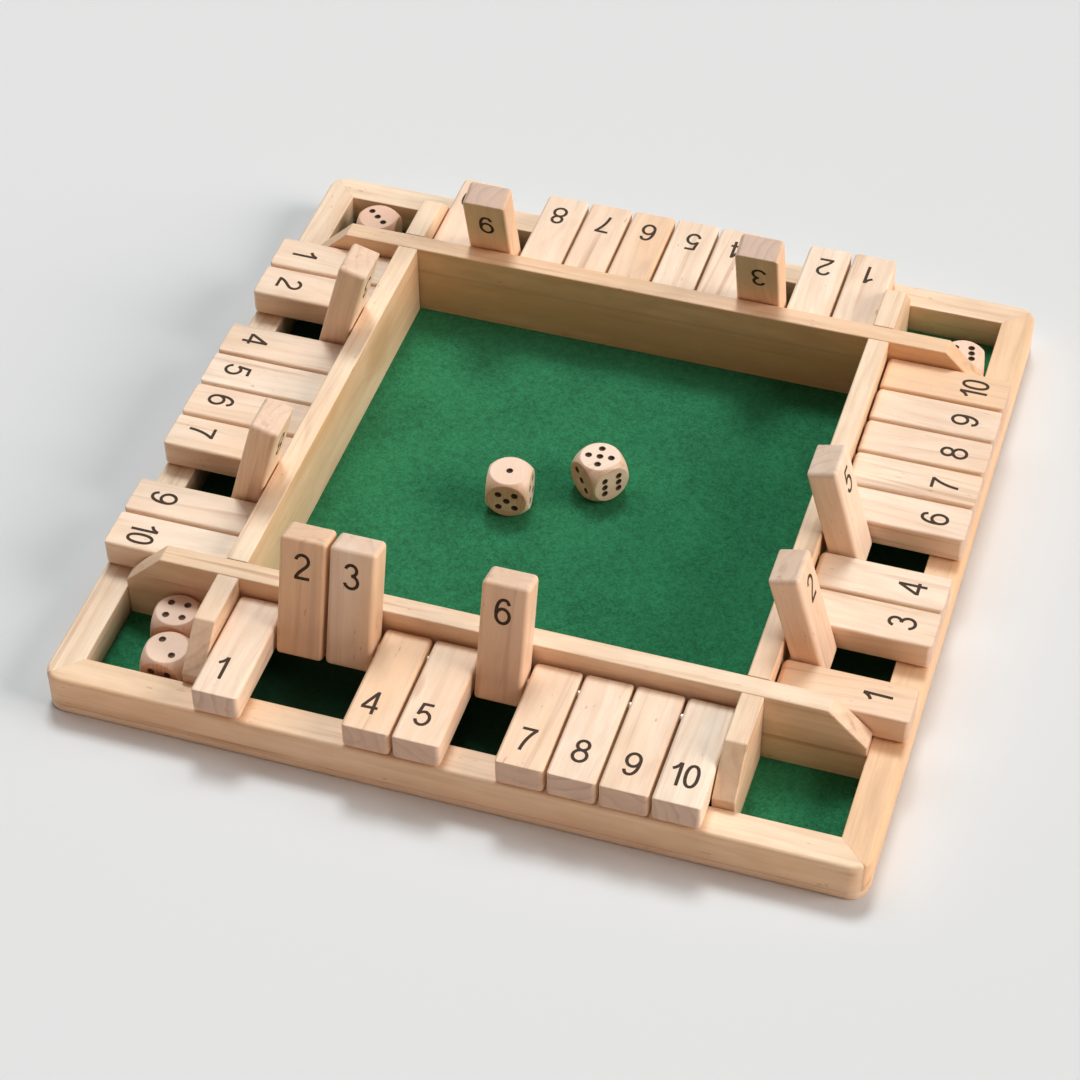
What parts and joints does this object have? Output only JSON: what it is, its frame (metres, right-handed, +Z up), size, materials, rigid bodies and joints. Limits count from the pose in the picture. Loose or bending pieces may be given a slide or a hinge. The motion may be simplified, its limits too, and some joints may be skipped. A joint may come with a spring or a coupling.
{
  "type": "shut the box game",
  "caption": "Square wooden game tray with hinged number tiles along each side, a felt dice area, corner dice pockets and wooden dice.",
  "frame": {"origin": "centre of the underside of the base board, on the table", "axes": "+Z up, +X right along the front row of tiles, +Y from the front row to the back row"},
  "size_m": [0.29, 0.29, 0.0632],
  "materials": {
    "frame_wood": "satin lacquered pale hardwood, rails and inner boards",
    "tile_wood": "satin pale hardwood, tiles with rounded edges",
    "base_wood": "bare plywood base board",
    "die_wood": "smooth pale hardwood dice with drilled dark pips",
    "number_ink": "matt dark brown printed numbers and stained pips",
    "felt": "short matt green felt",
    "rod_steel": "bright drawn steel rod"
  },
  "bodies": {
    "tray": {"base_board": "base_wood", "felt_mat": "felt", "front_rail": "frame_wood", "right_rail": "frame_wood", "back_rail": "frame_wood", "left_rail": "frame_wood", "front_inner_board": "frame_wood", "back_inner_board": "frame_wood", "left_inner_board": "frame_wood", "right_inner_board": "frame_wood", "pocket_dividers": "frame_wood", "hinge_rods": "rod_steel"},
    "front_tile_1": {"front_tile_1": "tile_wood"},
    "front_tile_2": {"front_tile_2": "tile_wood"},
    "front_tile_3": {"front_tile_3": "tile_wood"},
    "front_tile_4": {"front_tile_4": "tile_wood"},
    "front_tile_5": {"front_tile_5": "tile_wood"},
    "front_tile_6": {"front_tile_6": "tile_wood"},
    "front_tile_7": {"front_tile_7": "tile_wood"},
    "front_tile_8": {"front_tile_8": "tile_wood"},
    "front_tile_9": {"front_tile_9": "tile_wood"},
    "front_tile_10": {"front_tile_10": "tile_wood"},
    "right_tile_1": {"right_tile_1": "tile_wood"},
    "right_tile_2": {"right_tile_2": "tile_wood"},
    "right_tile_3": {"right_tile_3": "tile_wood"},
    "right_tile_4": {"right_tile_4": "tile_wood"},
    "right_tile_5": {"right_tile_5": "tile_wood"},
    "right_tile_6": {"right_tile_6": "tile_wood"},
    "right_tile_7": {"right_tile_7": "tile_wood"},
    "right_tile_8": {"right_tile_8": "tile_wood"},
    "right_tile_9": {"right_tile_9": "tile_wood"},
    "right_tile_10": {"right_tile_10": "tile_wood"},
    "back_tile_1": {"back_tile_1": "tile_wood"},
    "back_tile_2": {"back_tile_2": "tile_wood"},
    "back_tile_3": {"back_tile_3": "tile_wood"},
    "back_tile_4": {"back_tile_4": "tile_wood"},
    "back_tile_5": {"back_tile_5": "tile_wood"},
    "back_tile_6": {"back_tile_6": "tile_wood"},
    "back_tile_7": {"back_tile_7": "tile_wood"},
    "back_tile_8": {"back_tile_8": "tile_wood"},
    "back_tile_9": {"back_tile_9": "tile_wood"},
    "back_tile_10": {"back_tile_10": "tile_wood"},
    "left_tile_1": {"left_tile_1": "tile_wood"},
    "left_tile_2": {"left_tile_2": "tile_wood"},
    "left_tile_3": {"left_tile_3": "tile_wood"},
    "left_tile_4": {"left_tile_4": "tile_wood"},
    "left_tile_5": {"left_tile_5": "tile_wood"},
    "left_tile_6": {"left_tile_6": "tile_wood"},
    "left_tile_7": {"left_tile_7": "tile_wood"},
    "left_tile_8": {"left_tile_8": "tile_wood"},
    "left_tile_9": {"left_tile_9": "tile_wood"},
    "left_tile_10": {"left_tile_10": "tile_wood"},
    "die_1": {"die_1": "die_wood"},
    "die_2": {"die_2": "die_wood"},
    "die_3": {"die_3": "die_wood"},
    "die_4": {"die_4": "die_wood"},
    "die_5": {"die_5": "die_wood"},
    "die_6": {"die_6": "die_wood"}
  },
  "joints": [
    {"name": "front_tile_1_hinge", "type": "hinge", "parent": "tray", "child": "front_tile_1", "pos_m": [-0.08032, -0.10475, 0.02295], "axis": [-1, 0, 0], "range_deg": [0, 105.5]},
    {"name": "front_tile_2_hinge", "type": "hinge", "parent": "tray", "child": "front_tile_2", "pos_m": [-0.06248, -0.10475, 0.02295], "axis": [-1, 0, 0], "range_deg": [-105.5, 0]},
    {"name": "front_tile_3_hinge", "type": "hinge", "parent": "tray", "child": "front_tile_3", "pos_m": [-0.04462, -0.10475, 0.02295], "axis": [-1, 0, 0], "range_deg": [-105.5, 0]},
    {"name": "front_tile_4_hinge", "type": "hinge", "parent": "tray", "child": "front_tile_4", "pos_m": [-0.02678, -0.10475, 0.02295], "axis": [-1, 0, 0], "range_deg": [0, 105.5]},
    {"name": "front_tile_5_hinge", "type": "hinge", "parent": "tray", "child": "front_tile_5", "pos_m": [-0.00893, -0.10475, 0.02295], "axis": [-1, 0, 0], "range_deg": [0, 105.5]},
    {"name": "front_tile_6_hinge", "type": "hinge", "parent": "tray", "child": "front_tile_6", "pos_m": [0.00893, -0.10475, 0.02295], "axis": [-1, 0, 0], "range_deg": [-105.5, 0]},
    {"name": "front_tile_7_hinge", "type": "hinge", "parent": "tray", "child": "front_tile_7", "pos_m": [0.02678, -0.10475, 0.02295], "axis": [-1, 0, 0], "range_deg": [0, 105.5]},
    {"name": "front_tile_8_hinge", "type": "hinge", "parent": "tray", "child": "front_tile_8", "pos_m": [0.04462, -0.10475, 0.02295], "axis": [-1, 0, 0], "range_deg": [0, 105.5]},
    {"name": "front_tile_9_hinge", "type": "hinge", "parent": "tray", "child": "front_tile_9", "pos_m": [0.06248, -0.10475, 0.02295], "axis": [-1, 0, 0], "range_deg": [0, 105.5]},
    {"name": "front_tile_10_hinge", "type": "hinge", "parent": "tray", "child": "front_tile_10", "pos_m": [0.08032, -0.10475, 0.02295], "axis": [-1, 0, 0], "range_deg": [0, 105.5]},
    {"name": "right_tile_1_hinge", "type": "hinge", "parent": "tray", "child": "right_tile_1", "pos_m": [0.10475, -0.08032, 0.02295], "axis": [0, -1, 0], "range_deg": [0, 105.5]},
    {"name": "right_tile_2_hinge", "type": "hinge", "parent": "tray", "child": "right_tile_2", "pos_m": [0.10475, -0.06248, 0.02295], "axis": [0, -1, 0], "range_deg": [-105.5, 0]},
    {"name": "right_tile_3_hinge", "type": "hinge", "parent": "tray", "child": "right_tile_3", "pos_m": [0.10475, -0.04462, 0.02295], "axis": [0, -1, 0], "range_deg": [0, 105.5]},
    {"name": "right_tile_4_hinge", "type": "hinge", "parent": "tray", "child": "right_tile_4", "pos_m": [0.10475, -0.02678, 0.02295], "axis": [0, -1, 0], "range_deg": [0, 105.5]},
    {"name": "right_tile_5_hinge", "type": "hinge", "parent": "tray", "child": "right_tile_5", "pos_m": [0.10475, -0.00893, 0.02295], "axis": [0, -1, 0], "range_deg": [-105.5, 0]},
    {"name": "right_tile_6_hinge", "type": "hinge", "parent": "tray", "child": "right_tile_6", "pos_m": [0.10475, 0.00893, 0.02295], "axis": [0, -1, 0], "range_deg": [0, 105.5]},
    {"name": "right_tile_7_hinge", "type": "hinge", "parent": "tray", "child": "right_tile_7", "pos_m": [0.10475, 0.02678, 0.02295], "axis": [0, -1, 0], "range_deg": [0, 105.5]},
    {"name": "right_tile_8_hinge", "type": "hinge", "parent": "tray", "child": "right_tile_8", "pos_m": [0.10475, 0.04462, 0.02295], "axis": [0, -1, 0], "range_deg": [0, 105.5]},
    {"name": "right_tile_9_hinge", "type": "hinge", "parent": "tray", "child": "right_tile_9", "pos_m": [0.10475, 0.06248, 0.02295], "axis": [0, -1, 0], "range_deg": [0, 105.5]},
    {"name": "right_tile_10_hinge", "type": "hinge", "parent": "tray", "child": "right_tile_10", "pos_m": [0.10475, 0.08032, 0.02295], "axis": [0, -1, 0], "range_deg": [0, 105.5]},
    {"name": "back_tile_1_hinge", "type": "hinge", "parent": "tray", "child": "back_tile_1", "pos_m": [0.08032, 0.10475, 0.02295], "axis": [1, 0, 0], "range_deg": [0, 105.5]},
    {"name": "back_tile_2_hinge", "type": "hinge", "parent": "tray", "child": "back_tile_2", "pos_m": [0.06248, 0.10475, 0.02295], "axis": [1, 0, 0], "range_deg": [0, 105.5]},
    {"name": "back_tile_3_hinge", "type": "hinge", "parent": "tray", "child": "back_tile_3", "pos_m": [0.04462, 0.10475, 0.02295], "axis": [1, 0, 0], "range_deg": [-105.5, 0]},
    {"name": "back_tile_4_hinge", "type": "hinge", "parent": "tray", "child": "back_tile_4", "pos_m": [0.02678, 0.10475, 0.02295], "axis": [1, 0, 0], "range_deg": [0, 105.5]},
    {"name": "back_tile_5_hinge", "type": "hinge", "parent": "tray", "child": "back_tile_5", "pos_m": [0.00893, 0.10475, 0.02295], "axis": [1, 0, 0], "range_deg": [0, 105.5]},
    {"name": "back_tile_6_hinge", "type": "hinge", "parent": "tray", "child": "back_tile_6", "pos_m": [-0.00893, 0.10475, 0.02295], "axis": [1, 0, 0], "range_deg": [0, 105.5]},
    {"name": "back_tile_7_hinge", "type": "hinge", "parent": "tray", "child": "back_tile_7", "pos_m": [-0.02678, 0.10475, 0.02295], "axis": [1, 0, 0], "range_deg": [0, 105.5]},
    {"name": "back_tile_8_hinge", "type": "hinge", "parent": "tray", "child": "back_tile_8", "pos_m": [-0.04462, 0.10475, 0.02295], "axis": [1, 0, 0], "range_deg": [0, 105.5]},
    {"name": "back_tile_9_hinge", "type": "hinge", "parent": "tray", "child": "back_tile_9", "pos_m": [-0.06248, 0.10475, 0.02295], "axis": [1, 0, 0], "range_deg": [-105.5, 0]},
    {"name": "back_tile_10_hinge", "type": "hinge", "parent": "tray", "child": "back_tile_10", "pos_m": [-0.08032, 0.10475, 0.02295], "axis": [1, 0, 0], "range_deg": [0, 105.5]},
    {"name": "left_tile_1_hinge", "type": "hinge", "parent": "tray", "child": "left_tile_1", "pos_m": [-0.10475, 0.08032, 0.02295], "axis": [0, 1, 0], "range_deg": [0, 105.5]},
    {"name": "left_tile_2_hinge", "type": "hinge", "parent": "tray", "child": "left_tile_2", "pos_m": [-0.10475, 0.06248, 0.02295], "axis": [0, 1, 0], "range_deg": [0, 105.5]},
    {"name": "left_tile_3_hinge", "type": "hinge", "parent": "tray", "child": "left_tile_3", "pos_m": [-0.10475, 0.04462, 0.02295], "axis": [0, 1, 0], "range_deg": [-105.5, 0]},
    {"name": "left_tile_4_hinge", "type": "hinge", "parent": "tray", "child": "left_tile_4", "pos_m": [-0.10475, 0.02678, 0.02295], "axis": [0, 1, 0], "range_deg": [0, 105.5]},
    {"name": "left_tile_5_hinge", "type": "hinge", "parent": "tray", "child": "left_tile_5", "pos_m": [-0.10475, 0.00893, 0.02295], "axis": [0, 1, 0], "range_deg": [0, 105.5]},
    {"name": "left_tile_6_hinge", "type": "hinge", "parent": "tray", "child": "left_tile_6", "pos_m": [-0.10475, -0.00893, 0.02295], "axis": [0, 1, 0], "range_deg": [0, 105.5]},
    {"name": "left_tile_7_hinge", "type": "hinge", "parent": "tray", "child": "left_tile_7", "pos_m": [-0.10475, -0.02678, 0.02295], "axis": [0, 1, 0], "range_deg": [0, 105.5]},
    {"name": "left_tile_8_hinge", "type": "hinge", "parent": "tray", "child": "left_tile_8", "pos_m": [-0.10475, -0.04462, 0.02295], "axis": [0, 1, 0], "range_deg": [-105.5, 0]},
    {"name": "left_tile_9_hinge", "type": "hinge", "parent": "tray", "child": "left_tile_9", "pos_m": [-0.10475, -0.06248, 0.02295], "axis": [0, 1, 0], "range_deg": [0, 105.5]},
    {"name": "left_tile_10_hinge", "type": "hinge", "parent": "tray", "child": "left_tile_10", "pos_m": [-0.10475, -0.08032, 0.02295], "axis": [0, 1, 0], "range_deg": [0, 105.5]},
    {"name": "die_1_lift", "type": "slide", "parent": "tray", "child": "die_1", "axis": [0, 0, 1], "range_m": [0, 0.06]},
    {"name": "die_2_lift", "type": "slide", "parent": "tray", "child": "die_2", "axis": [0, 0, 1], "range_m": [0, 0.06]},
    {"name": "die_3_lift", "type": "slide", "parent": "tray", "child": "die_3", "axis": [0, 0, 1], "range_m": [0, 0.06]},
    {"name": "die_4_lift", "type": "slide", "parent": "tray", "child": "die_4", "axis": [0, 0, 1], "range_m": [0, 0.06]},
    {"name": "die_5_lift", "type": "slide", "parent": "tray", "child": "die_5", "axis": [0, 0, 1], "range_m": [0, 0.06]},
    {"name": "die_6_lift", "type": "slide", "parent": "tray", "child": "die_6", "axis": [0, 0, 1], "range_m": [0, 0.06]}
  ]
}
